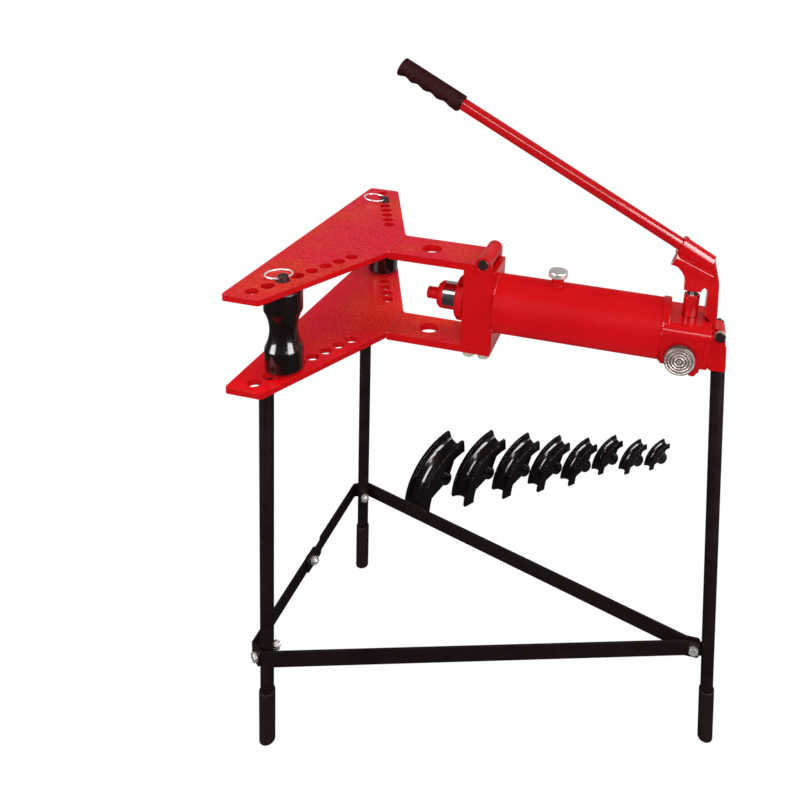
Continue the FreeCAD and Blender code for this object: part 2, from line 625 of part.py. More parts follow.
# Rear bracket: plate on the pump body, two ears for the pivot and the socket of the rear leg
rear_axis_top = (rear_leg_top[0], 0, rear_leg_top[1])
rear_axis_foot = (rear_leg_foot[0], 0, rear_leg_foot[1])
rear_dir = unit(rear_axis_top, rear_axis_foot)


def on_rear_leg(z):
    s = (z - rear_leg_top[1]) / rear_dir.z
    return along(rear_axis_top, rear_dir, s)


plate_x = body_end_x + seat_gap
plate_end_x = plate_x + plate_thickness
plate_half = body_half_width - 0.6
bracket = block(plate_x, plate_end_x, -plate_half, plate_half, body_bottom_z + 0.6, body_top_z - 0.6)
bracket = rounded_edges(bracket, body_round - 0.6, runs_along_x)
bracket = bracket.cut(block(body_end_x - 5, body_end_x + 15, -ear_inner, ear_inner, 0, body_top_z + 26))
ear_foot_z = bracket_bottom_z + 4.5
ear_base_z = body_bottom_z + 1.0
ear = [(plate_x, body_bottom_z + 3), (plate_x, pivot_z + 14), (pivot_x - 9.5, pivot_z + 7), (pivot_x, pivot_z)]
ear += [(pivot_x + 9.3, pivot_z - 2), (pivot_x + 13.2, pivot_z - 32), (pivot_x + 15, ear_base_z)]
ear += [(pivot_x + 14.6, ear_foot_z), (pivot_x - 10, ear_foot_z)]
for y0, y1 in ((-ear_outer, -ear_inner), (ear_inner, ear_outer)):
    bracket = bracket.fuse(side_plate(ear, y0, y1))
    bracket = bracket.fuse(rod(pivot_radius + 3.4, (pivot_x, y0, pivot_z), (pivot_x, y1, pivot_z)))
bridge_top_z = pivot_z - 20
bridge = [(plate_x, body_bottom_z + 3), (plate_x, bridge_top_z), (pivot_x + 11.9, bridge_top_z)]
bridge += [(pivot_x + 15, ear_base_z), (pivot_x + 14.6, ear_foot_z), (pivot_x - 10, ear_foot_z)]
bracket = bracket.fuse(side_plate(bridge, -ear_inner - 1, ear_inner + 1))
boss = rod(bracket_radius, on_rear_leg(bracket_bottom_z + 40), on_rear_leg(bracket_bottom_z))
spigot_ends = (on_rear_leg(bracket_bottom_z + 2), on_rear_leg(bracket_bottom_z - spigot_length))
bracket = bracket.fuse(boss.fuse(rod(spigot_radius, *spigot_ends)))
bolt_ends = ((pivot_x, -ear_outer - 10, pivot_z), (pivot_x, ear_outer + 10, pivot_z))
bracket = bracket.cut(rod(pivot_radius + seat_gap, *bolt_ends))
for y, z in bracket_bolt_places:
    bracket = bracket.cut(rod(4.4, (body_end_x - 5, y, z), (plate_end_x + 5, y, z)))
save("rear_bracket", bracket.removeSplitter())
screws = []
for y, z in bracket_bolt_places:
    shank = rod(4.0, (body_end_x - 18, y, z), (plate_end_x, y, z))
    screws.append(shank.fuse(hexagon(13, (plate_end_x, y, z), (plate_end_x + 5.3, y, z))))
save("bracket_bolts", Part.makeCompound(screws))

# Legs and rubber feet
brace_top_z = brace_z + brace_height / 2
brace_bottom_z = brace_z - brace_height / 2
foot_floor = 4.0


def leg_point(top, foot, z):
    t = (z - top[2]) / (foot[2] - top[2])
    return tuple(top[i] + (foot[i] - top[i]) * t for i in range(3))


def leg(top, foot, top_z):
    upper_end = leg_point(top, foot, top_z + 30)
    lower_end = leg_point(top, foot, ground_z - 30)
    shape = tube(leg_radius, leg_radius - leg_wall, upper_end, lower_end)
    return shape.common(block(-900, 900, -900, 900, ground_z + foot_floor, top_z))


def rubber_foot(top, foot):
    start = leg_point(top, foot, ground_z + foot_height)
    end = leg_point(top, foot, ground_z - 30)
    sleeve = rounded_edges(rod(foot_radius, start, end), 2.2, lambda e: len(e.Vertexes) == 1)
    sleeve = sleeve.common(block(-900, 900, -900, 900, ground_z, 0))
    socket = rod(leg_radius + seat_gap, leg_point(top, foot, ground_z + foot_height + 40), end)
    return sleeve.cut(socket.common(block(-900, 900, -900, 900, ground_z + foot_floor - 0.1, 0)))


near_axis = front_leg_axis(-1)
near_point = V(*leg_point(*near_axis, brace_z))
rear_point = V(*on_rear_leg(brace_z))
lug_bolt_x = rear_point.x - 28.0

# Straps on edge that brace the legs. Each is bent at its ends so that its tab lies square to its bolt.
to_rear = (rear_point - near_point).normalize()
inward = (to_rear + V(0, 1, 0)).normalize()
tab = V(inward.y, -inward.x, 0)
first_offset = leg_radius + 0.75 + brace_thickness / 2
second_offset = first_offset + brace_thickness + 0.1


def strap(path):
    # The path is widened to the strap's thickness with mitred corners, then raised to its height.
    left = []
    right = []
    half = brace_thickness / 2
    for i, p in enumerate(path):
        before = (p - path[i - 1]).normalize() if i > 0 else (path[1] - p).normalize()
        after = (path[i + 1] - p).normalize() if i < len(path) - 1 else before
        mid = (before + after).normalize()
        normal = V(-mid.y, mid.x, 0) * (half / mid.dot(before))
        left.append(p + normal)
        right.append(p - normal)
    ring = [V(q.x, q.y, brace_bottom_z) for q in left + right[::-1]]
    face = Part.Face(Part.makePolygon(ring + [ring[0]]))
    shape = face.extrude(V(0, 0, brace_height))
    ends = (path[0], path[-1])

    def at_end(edge):
        box = edge.BoundBox
        middle = box.Center
        flat = box.ZLength < 0.01 and abs(edge.Length - brace_thickness) < 0.05
        return flat and min((V(e.x, e.y, middle.z) - middle).Length for e in ends) < 0.5

    return rounded_edges(shape, 6.0, at_end)


def flat(point):
    return V(point.x, point.y, brace_z)


def bolt_hole(point, direction, radius=brace_bolt_radius + 0.3):
    return Part.makeCylinder(radius, 100, point - direction * 50, direction)


lug_half = 3.0
lug_side = lug_half + 0.1 + brace_thickness / 2
tab_end_x = rear_point.x - leg_radius - 3.5
rear_tab = [V(tab_end_x, -lug_side, brace_z), V(lug_bolt_x - 16, -lug_side, brace_z)]
first_centre = flat(near_point) - inward * first_offset
near_strap = [first_centre - tab * 12, first_centre + tab * 13] + rear_tab[::-1]
near_rear = strap(near_strap)
near_rear = near_rear.cut(bolt_hole(first_centre, inward))
near_rear = near_rear.cut(bolt_hole(V(lug_bolt_x, 0, brace_z), V(0, 1, 0)))
save("brace_near_rear", near_rear)
save("brace_far_rear", mirrored(near_rear))

second_centre = flat(near_point) - inward * second_offset
bend = second_centre - tab * 18
front_x = bend.x
middle_shift = brace_thickness + 0.1
near_half = strap([second_centre + tab * 12, bend, V(front_x, 22, brace_z)])
near_half = near_half.cut(bolt_hole(second_centre, inward)).cut(bolt_hole(V(front_x, 0, brace_z), V(1, 0, 0)))
save("brace_front_near", near_half)
mirror_tab = second_centre + tab * 12
far_path = [V(mirror_tab.x, -mirror_tab.y, brace_z), V(bend.x, -bend.y, brace_z), V(front_x, 50, brace_z)]
far_path += [V(front_x + middle_shift, 38, brace_z), V(front_x + middle_shift, -22, brace_z)]
far_half = strap(far_path)
far_centre = V(second_centre.x, -second_centre.y, brace_z)
far_inward = V(inward.x, -inward.y, 0)
far_half = far_half.cut(bolt_hole(far_centre, far_inward)).cut(bolt_hole(V(front_x, 0, brace_z), V(1, 0, 0)))
save("brace_front_far", far_half)

near_leg = leg(*near_axis, wing_underside - 0.2)
near_leg = near_leg.cut(bolt_hole(flat(near_point), inward, brace_bolt_radius + seat_gap))
save("leg_near", near_leg)
save("leg_far", mirrored(near_leg))
rear_leg = leg(rear_axis_top, rear_axis_foot, bracket_bottom_z - 3)
lug_end_x = rear_point.x - leg_radius + 3
lug = block(rear_point.x - 38, lug_end_x, -lug_half, lug_half, brace_bottom_z + 3, brace_top_z - 3)
hollow = rod(leg_radius - leg_wall, on_rear_leg(brace_z + 80), on_rear_leg(brace_z - 80))
lug = lug.cut(hollow).cut(bolt_hole(V(lug_bolt_x, 0, brace_z), V(0, 1, 0), brace_bolt_radius + seat_gap))
save("leg_rear", rear_leg.fuse(lug).removeSplitter())
save("foot_near", rubber_foot(*near_axis))
save("foot_far", mirrored(rubber_foot(*near_axis)))
save("foot_rear", rubber_foot(rear_axis_top, rear_axis_foot))


def fastened(start, direction, grip_length_between):
    # A hexagon bolt whose head seats at the start, and the nut at the far side.
    end = start + direction * (grip_length_between + 12)
    shank = rod(brace_bolt_radius, tuple(start), tuple(end))
    head = hexagon(17, tuple(start), tuple(start - direction * 6.4))
    nut_start = start + direction * (grip_length_between + 0.1)
    body = hexagon(17, tuple(nut_start), tuple(nut_start + direction * 8))
    body = body.cut(rod(brace_bolt_radius + 0.1, tuple(start), tuple(end + direction)))
    return shank.fuse(head), body


front_head = flat(near_point) - inward * (second_offset + brace_thickness / 2 + 0.05)
front_grip = second_offset + brace_thickness / 2 + leg_radius + 0.6
near_set = fastened(front_head, inward, front_grip)
far_set = [mirrored(s) for s in near_set]
lug_grip = 2 * (lug_side + brace_thickness / 2) + 0.2
rear_set = fastened(V(lug_bolt_x, -lug_grip / 2, brace_z), V(0, 1, 0), lug_grip)
middle_start = V(front_x - brace_thickness / 2 - 0.05, 0, brace_z)
middle_set = fastened(middle_start, V(1, 0, 0), 2 * brace_thickness + 0.3)
sets = [near_set, far_set, rear_set, middle_set]
save("brace_bolts", Part.makeCompound([piece for pair in sets for piece in pair]))

# Rollers, their pins and the pull rings
pin_x = pin_hole_first[0] + pin_hole_pitch[0] * pin_hole_used
pin_y = pin_hole_first[1] + pin_hole_pitch[1] * pin_hole_used


def is_rim(edge, z):
    box = edge.BoundBox
    return box.ZLength < 0.01 and abs(box.ZMin - z) < 0.01 and box.XLength > 2 * roller_radius - 0.1


def roller(y):
    # A hub under the lower rim carries the roller on the lower wing.
    hub_z = lower_top + 0.3
    profile = [(hub_z, 0), (hub_z, roller_hub_radius), (roller_rim_z, roller_hub_radius)]
    profile += [(roller_rim_z, roller_radius - 1), (roller_rim_z + 1, roller_radius)]
    profile += [(roller_top_z - 1, roller_radius), (roller_top_z, roller_radius - 1), (roller_top_z, 0)]
    outer = turned(profile, (pin_x, y, 0), (0, 0, 1))
    low_z, high_z = roller_groove_z
    low = V(pin_x + roller_radius + 2, y, low_z)
    high = V(pin_x + roller_radius + 2, y, high_z)
    edge_low = V(pin_x + roller_radius, y, low_z)
    edge_high = V(pin_x + roller_radius, y, high_z)
    waist = V(pin_x + roller_waist, y, (low_z + high_z) / 2)
    wire = Part.Wire([Part.makeLine(low, edge_low), Part.Arc(edge_low, waist, edge_high).toShape(),
                      Part.makeLine(edge_high, high), Part.makeLine(high, low)])
    groove = Part.Face(wire).revolve(V(pin_x, y, 0), V(0, 0, 1), 360)
    body = outer.cut(groove)
    body = rounded_edges(body, roller_low_round, lambda e: is_rim(e, low_z))
    body = rounded_edges(body, roller_high_round, lambda e: is_rim(e, high_z))
    return body.cut(rod(pin_radius + fit, (pin_x, y, -200), (pin_x, y, 200)))


def ring_parts(y, heading, tilt):
    # heading is the direction in which the ring lies, tilt lifts its free side.
    a = math.radians(heading)
    t = math.radians(tilt)
    reach = V(math.cos(a) * math.cos(t), math.sin(a) * math.cos(t), math.sin(t))
    pivot = V(-math.sin(a), math.cos(a), 0)
    hole = V(pin_x, y, ring_z)
    centre = hole + reach * (ring_mean_radius - ring_sag)
    ring = Part.makeTorus(ring_mean_radius, ring_wire, centre, reach.cross(pivot))
    rise = ring_mean_radius - math.sqrt(ring_mean_radius ** 2 - pin_head_radius ** 2)
    bore = Part.makeCylinder(ring_wire + rise - ring_sag + ring_play, 40, hole - pivot * 20, pivot)
    return ring, bore


def pin(y, bore):
    profile = [(pin_bottom_z, 0), (pin_bottom_z, pin_radius - 3), (pin_bottom_z + 4, pin_radius)]
    profile += [(pin_shoulder_z, pin_radius), (pin_shoulder_z, pin_head_radius)]
    profile += [(pin_head_z - 1.5, pin_head_radius), (pin_head_z, pin_head_radius - 1.5), (pin_head_z, 0)]
    return turned(profile, (pin_x, y, 0), (0, 0, 1)).cut(bore)


near_ring, near_bore = ring_parts(-pin_y, 137.0, -4.6)
far_ring, far_bore = ring_parts(pin_y, 188.0, 6.0)
save("roller_near", roller(-pin_y))
save("roller_far", roller(pin_y))
save("pin_near", pin(-pin_y, near_bore))
save("pin_far", pin(pin_y, far_bore))
save("ring_near", near_ring)
save("ring_far", far_ring)

# Bending dies: grooved shoes of about a quarter turn, each with a web and a boss for the ram nose.
# Each entry is (place x, place y, height, heading). They stand on their lower ends beside the bender.
die_arc = 84.0
die_width_share = 0.40
die_groove_share = 0.145
die_wall_share = 0.055
die_boss_radius = 19.0
die_yaw = 42.0
die_row = [(-146.0, 503.0, 172.0), (-36.0, 573.0, 157.0), (62.5, 625.8, 140.0), (153.2, 673.7, 124.0)]
die_row += [(237.4, 718.7, 108.0), (317.0, 786.8, 93.0), (394.4, 807.8, 84.0), (467.3, 846.8, 76.0)]
eye_place = (383.1, -1263.5)


def die(height):
    width = height * die_width_share
    groove = height * die_groove_share
    depth = groove + height * die_wall_share
    inner = height - depth
    half = width / 2
    # The section is drawn in the plane of the lower end and swept round the centre of the bend.
    points = [V(-height, 0, -half), V(-height, 0, -groove), V(-height + groove, 0, 0), V(-height, 0, groove)]
    points += [V(-height, 0, half), V(-inner, 0, half), V(-inner, 0, -half)]
    edges = [Part.makeLine(points[0], points[1]), Part.Arc(points[1], points[2], points[3]).toShape()]
    edges += [Part.makeLine(points[3], points[4]), Part.makeLine(points[4], points[5])]
    edges += [Part.makeLine(points[5], points[6]), Part.makeLine(points[6], points[0])]
    shoe = Part.Face(Part.Wire(edges)).revolve(V(0, 0, 0), V(0, 0, 1), -die_arc)
    a = math.radians(die_arc)
    low = V(-inner - 1, 0, 0)
    high = V(-(inner + 1) * math.cos(a), (inner + 1) * math.sin(a), 0)
    mid = V(-math.cos(a / 2), math.sin(a / 2), 0)
    apex = mid * (inner * 0.52)
    turn = V(-mid.y, mid.x, 0)
    bow = mid * (inner + 1)
    web_half = width * 0.13
    rise = V(0, 0, web_half)
    tip = 11.0
    corner = [low, apex - turn * -tip, apex - turn * tip, high]
    lines = [Part.makeLine(corner[i] - rise, corner[i + 1] - rise) for i in range(3)]
    lines.append(Part.Arc(high - rise, bow - rise, low - rise).toShape())
    web = Part.Face(Part.Wire(lines)).extrude(rise * 2)
    boss_length = inner * 0.48 + 4
    boss = Part.makeCylinder(die_boss_radius, boss_length, apex - mid * 4, mid)
    bore = Part.makeCylinder(nose_radius + 0.2, 27, apex - mid * 4, mid)
    return shoe.fuse(web).fuse(boss).cut(bore).removeSplitter()


for number, (x, y, height) in enumerate(die_row):
    shape = die(height)
    shape.rotate(V(0, 0, 0), V(1, 0, 0), 90)
    sight = math.degrees(math.atan2(eye_place[0] - x, y - eye_place[1]))
    shape.rotate(V(0, 0, 0), V(0, 0, 1), sight + die_yaw)
    middle = shape.Solids[0].CenterOfMass
    shape.translate(V(x - middle.x, y - middle.y, ground_z))
    save("die_" + str(number + 1), shape)
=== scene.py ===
import math

import bpy
from mathutils import Matrix, Vector


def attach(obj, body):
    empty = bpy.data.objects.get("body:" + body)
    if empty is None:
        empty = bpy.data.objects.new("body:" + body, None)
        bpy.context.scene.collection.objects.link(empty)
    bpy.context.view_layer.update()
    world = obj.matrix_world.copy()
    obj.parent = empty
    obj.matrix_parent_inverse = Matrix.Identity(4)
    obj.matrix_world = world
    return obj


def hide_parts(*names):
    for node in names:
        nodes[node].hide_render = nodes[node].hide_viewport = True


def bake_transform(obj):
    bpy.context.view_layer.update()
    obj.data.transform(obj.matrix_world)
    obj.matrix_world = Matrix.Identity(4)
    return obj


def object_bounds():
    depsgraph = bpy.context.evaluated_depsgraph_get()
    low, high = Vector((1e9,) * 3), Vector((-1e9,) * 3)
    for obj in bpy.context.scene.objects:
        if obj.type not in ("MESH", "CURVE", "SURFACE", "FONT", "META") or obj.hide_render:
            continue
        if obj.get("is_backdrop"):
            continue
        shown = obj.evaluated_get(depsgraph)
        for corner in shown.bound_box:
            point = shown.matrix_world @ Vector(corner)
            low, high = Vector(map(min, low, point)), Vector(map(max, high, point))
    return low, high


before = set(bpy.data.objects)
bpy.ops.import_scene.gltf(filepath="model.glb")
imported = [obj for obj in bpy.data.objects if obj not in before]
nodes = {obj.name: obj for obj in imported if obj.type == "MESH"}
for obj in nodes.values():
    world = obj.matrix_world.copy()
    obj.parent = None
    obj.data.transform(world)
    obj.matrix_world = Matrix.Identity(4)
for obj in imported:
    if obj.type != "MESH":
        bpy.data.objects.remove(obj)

scene = bpy.context.scene


def write_size(key, sizes={}):
    low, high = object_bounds()
    sizes[key] = [[float(v) for v in low], [float(v) for v in high]]


write_size("frame")


# Shader building blocks. Patterns are laid out in metres, in each piece's own space. A noise pattern is given as
# its scale in waves per metre, its detail and its roughness.

MIDDLE = (0.3, 0.7)     # the part of a noise pattern's range that holds nearly all of it
STEEP = (0.42, 0.58)    # the narrow part that turns a noise pattern into distinct patches


def shader(name):
    mat = bpy.data.materials.new(name)
    mat.use_nodes = True
    tree = mat.node_tree
    return mat, tree, tree.nodes["Principled BSDF"]


def feed(tree, socket, value):
    # The value is another node's output, a colour or a number.
    if isinstance(value, bpy.types.NodeSocket):
        tree.links.new(value, socket)
    elif socket.type == "RGBA":
        socket.default_value = (*value, 1)
    else:
        socket.default_value = value


def noise(tree, scale, detail=2.0, rough=0.5):
    coords = tree.nodes.get("place") or tree.nodes.new("ShaderNodeTexCoord")
    coords.name = "place"
    node = tree.nodes.new("ShaderNodeTexNoise")
    node.inputs["Scale"].default_value = scale
    node.inputs["Detail"].default_value = detail
    node.inputs["Roughness"].default_value = rough
    tree.links.new(coords.outputs["Object"], node.inputs["Vector"])
    return node.outputs["Fac"]


def span(tree, source, low, high, out_low, out_high):
    node = tree.nodes.new("ShaderNodeMapRange")
    feed(tree, node.inputs["Value"], source)
    for name, value in (("From Min", low), ("From Max", high), ("To Min", out_low), ("To Max", out_high)):
        node.inputs[name].default_value = value
    return node.outputs["Result"]


def calculate(tree, operation, one, two):
    node = tree.nodes.new("ShaderNodeMath")
    node.operation = operation
    feed(tree, node.inputs[0], one)
    feed(tree, node.inputs[1], two)
    return node.outputs["Value"]


def calculate_vector(tree, operation, one, two):
    node = tree.nodes.new("ShaderNodeVectorMath")
    node.operation = operation
    feed(tree, node.inputs[0], one)
    feed(tree, node.inputs[1], two)
    return node.outputs["Value" if operation == "DISTANCE" else "Vector"]


def part_of(tree, vector, letter):
    node = tree.nodes.new("ShaderNodeSeparateXYZ")
    tree.links.new(vector, node.inputs["Vector"])
    return node.outputs[letter]


def mix(tree, factor, one, two):
    node = tree.nodes.new("ShaderNodeMix")
    node.data_type = "RGBA"
    feed(tree, node.inputs["Factor"], factor)
    feed(tree, node.inputs["A"], one)
    feed(tree, node.inputs["B"], two)
    return node.outputs["Result"]


def mix_shaders(tree, factor, one, two):
    node = tree.nodes.new("ShaderNodeMixShader")
    for socket, value in zip(node.inputs, (factor, one, two)):
        tree.links.new(value, socket)
    return node.outputs["Shader"]


# Kinds of surface. Each has two tones in patches, a roughness made uneven by wear, a grain raised by a fraction of
# a millimetre, and edges that catch the light as if rounded by the length called edge. Lengths are in metres.

EDGE_SAMPLES = 4
# Painted shade in corners: how far its occlusion looks, its samples, the openness it spans and its deepest red
CREVICE_SHADE_REACH = 0.006
CREVICE_SHADE_SAMPLES = 6
CREVICE_SHADE_OPENNESS = (0.35, 0.85)
CREVICE_SHADE_RED = (0.16, 0.0, 0.002)


def two_toned(name, one, two, patches):
    mat, tree, bsdf = shader(name)
    colour = mix(tree, span(tree, noise(tree, *patches), *MIDDLE, 0, 1), one, two)
    feed(tree, bsdf.inputs["Base Color"], colour)
    return mat, tree, bsdf, colour


def roughen(tree, bsdf, wear, low, high):
    feed(tree, bsdf.inputs["Roughness"], span(tree, noise(tree, *wear), *MIDDLE, low, high))


def raise_grain(tree, bsdf, edge, grain_scale, height):
    bevel = tree.nodes.new("ShaderNodeBevel")
    bevel.samples = EDGE_SAMPLES
    bevel.inputs["Radius"].default_value = edge
    bump = tree.nodes.new("ShaderNodeBump")
    bump.inputs["Strength"].default_value = 1.0
    bump.inputs["Distance"].default_value = height
    feed(tree, bump.inputs["Height"], noise(tree, grain_scale, 3.0))
    feed(tree, bump.inputs["Normal"], bevel.outputs["Normal"])
    feed(tree, bsdf.inputs["Normal"], bump.outputs["Normal"])
    feed(tree, bsdf.inputs["Coat Normal"], bevel.outputs["Normal"])


def paint_crevice_shade(tree, bsdf, one, colour):
    # Painted shade: where ambient occlusion finds corners and seams between pieces, the base colour is darkened
    # towards a deep red.
    near = tree.nodes.new("ShaderNodeAmbientOcclusion")
    near.samples = CREVICE_SHADE_SAMPLES
    near.inputs["Distance"].default_value = CREVICE_SHADE_REACH
    openness = span(tree, near.outputs["AO"], *CREVICE_SHADE_OPENNESS, 0, 1)
    dark = mix(tree, openness, CREVICE_SHADE_RED, one)
    feed(tree, bsdf.inputs["Base Color"], mix(tree, openness, dark, colour))


def paint(name, one, two, rough, coat, gloss, edge=0.0012, peel=0.00006, coat_rough=0.08, crevice_shade=False):
    mat, tree, bsdf, colour = two_toned(name, one, two, (9.0, 4.0, 0.6))
    roughen(tree, bsdf, (45.0, 5.0, 0.65), rough * 0.82, rough * 1.2)
    if crevice_shade:
        paint_crevice_shade(tree, bsdf, one, colour)
    bsdf.inputs["Coat Weight"].default_value = coat
    bsdf.inputs["Coat Roughness"].default_value = coat_rough
    bsdf.inputs["Specular IOR Level"].default_value = gloss
    raise_grain(tree, bsdf, edge, 420.0, peel)
    return mat


def metal(name, one, two, rough, peel=0.00001, peel_scale=700.0, share=1.0):
    mat, tree, bsdf, _ = two_toned(name, one, two, (30.0, 5.0, 0.6))
    bsdf.inputs["Metallic"].default_value = share
    roughen(tree, bsdf, (90.0, 5.0, 0.6), rough * 0.75, rough * 1.3)
    raise_grain(tree, bsdf, 0.0006, peel_scale, peel)
    return mat


def rubber(name, one, two, rough, peel=0.00008, peel_scale=500.0, gloss=0.35, patch=14.0):
    mat, tree, bsdf, _ = two_toned(name, one, two, (patch, 4.0, 0.6))
    roughen(tree, bsdf, (60.0, 5.0, 0.6), rough * 0.85, rough * 1.15)
    bsdf.inputs["Specular IOR Level"].default_value = gloss
    raise_grain(tree, bsdf, 0.001, peel_scale, peel)
    return mat


TOP_SHEEN_LEVEL = (0.55, 0.95)     # the upward part of a face's normal where the painted top light starts and where it is full


def paint_top_sheen_and_grain(mat, sheen_lift, fade=None):
    # Painted light: faces that point up are painted a lighter red and, through a fine grain, carry broad pink and
    # orange patches brightened by lift that stand in for the reflection of a bright room, with dark grain specks
    # among them. Where fade is given, the patches and specks start at its first Y and are full at its second.
    tree = mat.node_tree
    bsdf = tree.nodes["Principled BSDF"]
    painted = bsdf.inputs["Base Color"].links[0].from_socket
    shape = tree.nodes.new("ShaderNodeNewGeometry")
    upward = span(tree, part_of(tree, shape.outputs["Normal"], "Z"), *TOP_SHEEN_LEVEL, 0, 1)
    broad = span(tree, noise(tree, 7.0, 2.0, 0.5), *STEEP, 0, 1)
    patches = mix(tree, broad, (0.74 * sheen_lift, 0.026, 0.07), (0.70 * sheen_lift, 0.072, 0.034))
    painted = mix(tree, upward, painted, (0.72 * sheen_lift, 0.004, 0.010))
    if fade:
        across = part_of(tree, tree.nodes["place"].outputs["Object"], "Y")
        upward = calculate(tree, "MULTIPLY", upward, span(tree, across, *fade, 0, 1))
    grain = span(tree, noise(tree, 300.0, 2.0, 0.7), *STEEP, 0, 1)
    light = mix(tree, calculate(tree, "MULTIPLY", upward, grain), painted, patches)
    specks = span(tree, noise(tree, 270.0, 3.0, 0.8), 0.50, 0.60, 0, 0.6)
    dark = mix(tree, broad, (0.30, 0.004, 0.010), (0.34, 0.012, 0.010))
    feed(tree, bsdf.inputs["Base Color"], mix(tree, calculate(tree, "MULTIPLY", upward, specks), light, dark))


RING_PITCH = 0.0026
RING_EDGES = (0.0006, 0.002)


def paint_ring_light_and_shade(mat, obj):
    # Painted highlight and painted shade: rings of bright lands and dark grooves round the knob's own axis,
    # standing in for light on its turned ridges and shade in its grooves, with a fine knurl over them
    tree = mat.node_tree
    bsdf = tree.nodes["Principled BSDF"]
    side_on = Vector((1, 0, 1))
    centre = sum((Vector(corner) for corner in obj.bound_box), Vector()) / 8
    flat = calculate_vector(tree, "MULTIPLY", tree.nodes["place"].outputs["Object"], side_on)
    away = calculate_vector(tree, "DISTANCE", flat, centre * side_on)
    rings = span(tree, calculate(tree, "PINGPONG", away, RING_PITCH), *RING_EDGES, 0, 1)
    knurl = span(tree, noise(tree, 520.0, 3.0, 0.7), *STEEP, 0.25, 1)
    bright = calculate(tree, "MULTIPLY", rings, knurl)
    feed(tree, bsdf.inputs["Base Color"], mix(tree, bright, (0.11, 0.065, 0.058), (0.78, 0.68, 0.64)))


# The materials

RED_TONES = (0.60, 0.0012, 0.0042), (0.68, 0.0026, 0.0065)
JET_TONES = (0.006, 0.0022, 0.0024), (0.010, 0.0036, 0.004)

RED = paint("red_enamel", *RED_TONES, 0.42, coat=0.0, gloss=0.05, crevice_shade=True)
GLOSS_RED = paint("gloss_red_enamel", *RED_TONES, 0.36, coat=1.0, gloss=0.04, coat_rough=0.1, peel=0.00001,
                  crevice_shade=True)
HANDLE_RED = paint("handle_enamel", (0.50, 0.001, 0.004), (0.56, 0.002, 0.006), 0.36, coat=1.0, gloss=0.04,
                   coat_rough=0.12, edge=0.0003, peel=0.000003)
# Painted highlight: the weld beads' red is a lighter copy of the enamel, standing in for the light along the welds
BEAD_LIT_RED = paint("weld_bead_lit_enamel", (0.66, 0.006, 0.012), (0.74, 0.012, 0.018), 0.34, coat=0.8, gloss=0.1,
                 peel=0.00004)
SATIN_RED = paint("satin_red_enamel", *RED_TONES, 0.40, coat=0.55, gloss=0.03, coat_rough=0.1, peel=0.00003,
                  crevice_shade=True)
LOWER_RED = paint("lower_plate_enamel", *RED_TONES, 0.36, coat=0.15, gloss=0.05, coat_rough=0.12)
PLATE_RED = paint("plate_red_enamel", *RED_TONES, 0.36, coat=0.15, gloss=0.05, coat_rough=0.12)
# Painted light on the wings' top faces, lifted more on the lower wing, which lies in the upper wing's shade
paint_top_sheen_and_grain(PLATE_RED, 1.12)
paint_top_sheen_and_grain(LOWER_RED, 1.35, fade=(-0.26, -0.06))
ROLLER = paint("roller_enamel", *JET_TONES, 0.3, coat=1.0, edge=0.003, peel=0.00001, gloss=0.1, coat_rough=0.03)
BLACK = paint("black_enamel", (0.009, 0.0025, 0.003), (0.014, 0.004, 0.0045), 0.5, coat=0.0, peel=0.00012,
              gloss=0.12)
DIE_BLACK = paint("black_gloss", *JET_TONES, 0.3, coat=1.0, peel=0.00001, gloss=0.1)
CHROME = metal("hard_chrome", (0.62, 0.60, 0.60), (0.72, 0.70, 0.70), 0.12)
NICKEL = metal("bright_plate", (0.66, 0.62, 0.60), (0.80, 0.76, 0.73), 0.3, share=0.6)
STEEL = metal("turned_steel", (0.48, 0.45, 0.42), (0.62, 0.58, 0.53), 0.34, share=0.6)
DARK = metal("dark_steel", (0.018, 0.007, 0.007), (0.045, 0.018, 0.016), 0.34, share=0.3)
ZINC = metal("yellow_zinc", (0.74, 0.66, 0.50), (0.88, 0.83, 0.70), 0.3, share=0.4)
WIRE = metal("bright_wire", (0.86, 0.84, 0.83), (0.96, 0.94, 0.93), 0.3, share=0.35)
KNOB = metal("cast_alloy", (0.16, 0.12, 0.11), (0.36, 0.29, 0.27), 0.42, peel=0.00012, peel_scale=320.0,
             share=0.45)
paint_ring_light_and_shade(KNOB, nodes["release_knob"])
FOOT = rubber("black_rubber", (0.012, 0.004, 0.004), (0.020, 0.007, 0.007), 0.6, gloss=0.12)
GRIP = rubber("grip_rubber", (0.006, 0.0006, 0.0008), (0.048, 0.007, 0.009), 0.6, peel=0.00014,
              peel_scale=380.0, gloss=0.04, patch=330.0)
SEAL = rubber("seal_rubber", (0.02, 0.02, 0.02), (0.03, 0.03, 0.03), 0.6)

FINISH = {
    "upper_wing": PLATE_RED, "lower_wing": LOWER_RED,
    "front_block": SATIN_RED, "pump_body": SATIN_RED, "rear_bracket": SATIN_RED,
    "pump_barrel": GLOSS_RED, "lever_casting": GLOSS_RED, "handle_tube": HANDLE_RED,
    "tank_tube": RED, "gland_nut": RED, "ram_nose": RED, "leg_spigots": RED, "bracket_bolts": RED,
    "drain_plug": RED,
    "ram_rod": CHROME, "pump_plunger": CHROME,
    "filler_cap": NICKEL, "brace_bolts": NICKEL, "pivot_washer": NICKEL,
    "hinge_pin": DARK, "pin_near": DARK, "pin_far": DARK, "pivot_bolt": DARK, "pivot_nut": DARK,
    # Painted shade: the barrel's cap takes the dark steel, standing in for the shaded gap under the lever's
    # casting
    "barrel_cap": DARK,
    "ring_near": WIRE, "ring_far": WIRE, "block_bolts": ZINC, "release_knob": KNOB,
    "handle_grip": FOOT, "foot_near": FOOT, "foot_far": FOOT, "foot_rear": FOOT,
    "filler_gasket": SEAL, "cylinder_seals": SEAL, "piston_seal": SEAL, "plunger_seal": SEAL,
}
